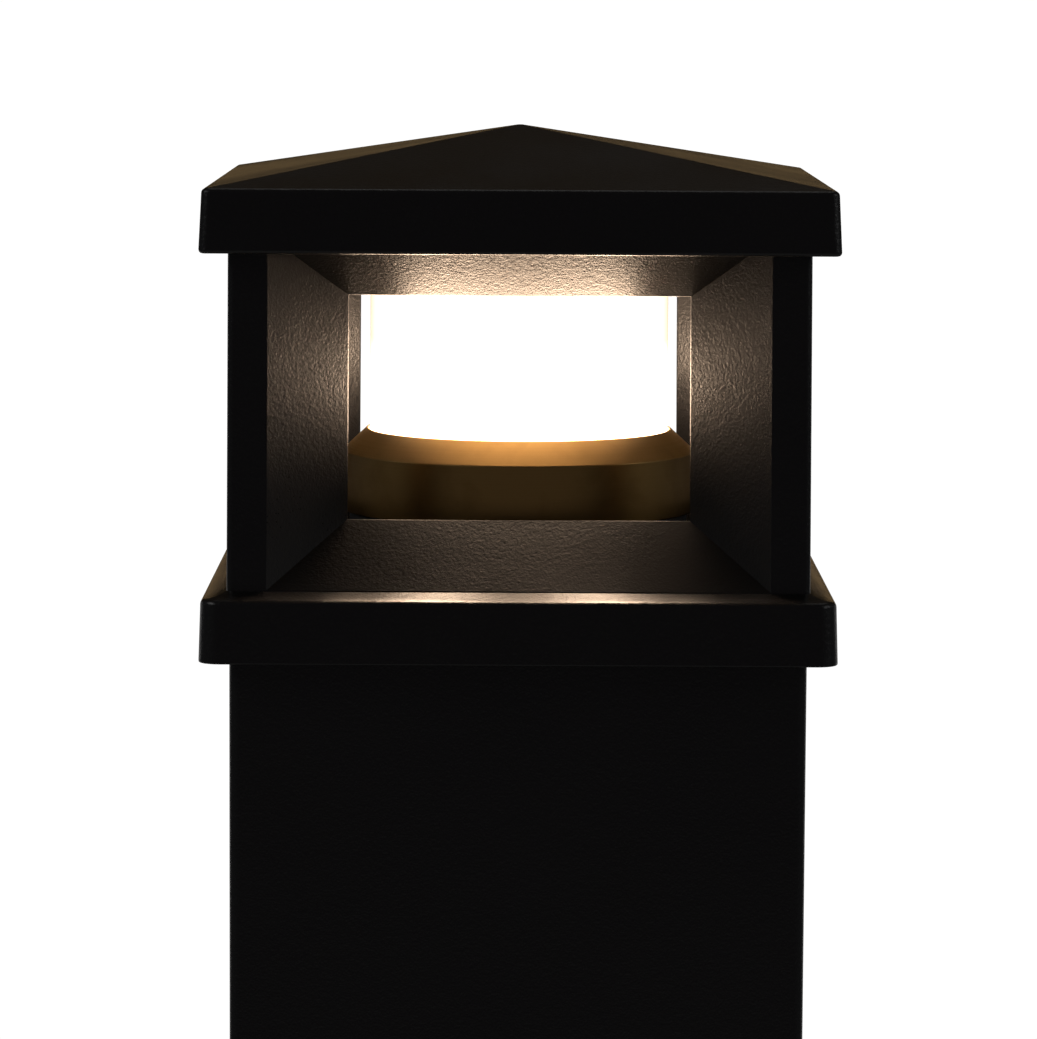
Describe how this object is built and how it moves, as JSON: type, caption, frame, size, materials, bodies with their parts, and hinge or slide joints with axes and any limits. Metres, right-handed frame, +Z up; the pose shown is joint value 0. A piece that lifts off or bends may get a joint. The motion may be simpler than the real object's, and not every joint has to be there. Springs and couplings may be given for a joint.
{
  "type": "bollard light",
  "caption": "Square post bollard light with a windowed lantern round an opal lens and brass ring, under a low pyramid cap.",
  "frame": {"origin": "centre of the foot, on the ground", "axes": "+Z up the post, -Y out of the front window, +X to the right"},
  "size_m": [0.1654, 0.1654, 0.762],
  "materials": {
    "powder_coat": "matte",
    "brass_ring": "satin",
    "brass_hardware": "satin",
    "opal_lens": "satin",
    "gasket": "matte",
    "stainless": "satin",
    "bare_aluminium": "satin",
    "circuit_board": "satin",
    "led_phosphor": "satin",
    "driver_case": "satin",
    "terminal_plastic": "matte",
    "surge_plastic": "satin",
    "lead_red": "satin",
    "lead_blue": "satin"
  },
  "bodies": {
    "anchor": {"anchor_base": "powder_coat", "earth_stud": "brass_hardware"},
    "post": {"post": "powder_coat", "base_screws": "stainless"},
    "head": {"collar": "powder_coat", "collar_screws": "stainless", "lantern_frame": "powder_coat", "frame_screws": "stainless", "cap_gasket": "gasket", "heat_sink": "bare_aluminium", "heat_sink_screws": "stainless", "lens_ring": "brass_ring", "lower_gasket": "gasket", "lens_tube": "opal_lens", "upper_gasket": "gasket", "lens_cover": "bare_aluminium", "tie_rod": "stainless", "tie_nuts": "stainless", "tie_washer": "stainless", "led_column": "bare_aluminium", "led_boards": "circuit_board", "led_chips": "led_phosphor", "wire_grommet": "gasket", "led_leads": "lead_red", "mains_leads": "lead_blue", "driver_bracket": "bare_aluminium", "bracket_screws": "stainless", "led_driver": "driver_case", "driver_screws": "stainless", "terminal_block": "terminal_plastic", "surge_protector": "surge_plastic"},
    "cap": {"roof_cap": "powder_coat", "cap_screws": "stainless"}
  },
  "joints": [
    {"name": "post_lift", "type": "slide", "parent": "anchor", "child": "post", "axis": [0, 0, 1], "range_m": [0, 0.06]},
    {"name": "head_lift", "type": "slide", "parent": "post", "child": "head", "axis": [0, 0, 1], "range_m": [0, 0.2]},
    {"name": "cap_lift", "type": "slide", "parent": "head", "child": "cap", "axis": [0, 0, 1], "range_m": [0, 0.06]}
  ]
}
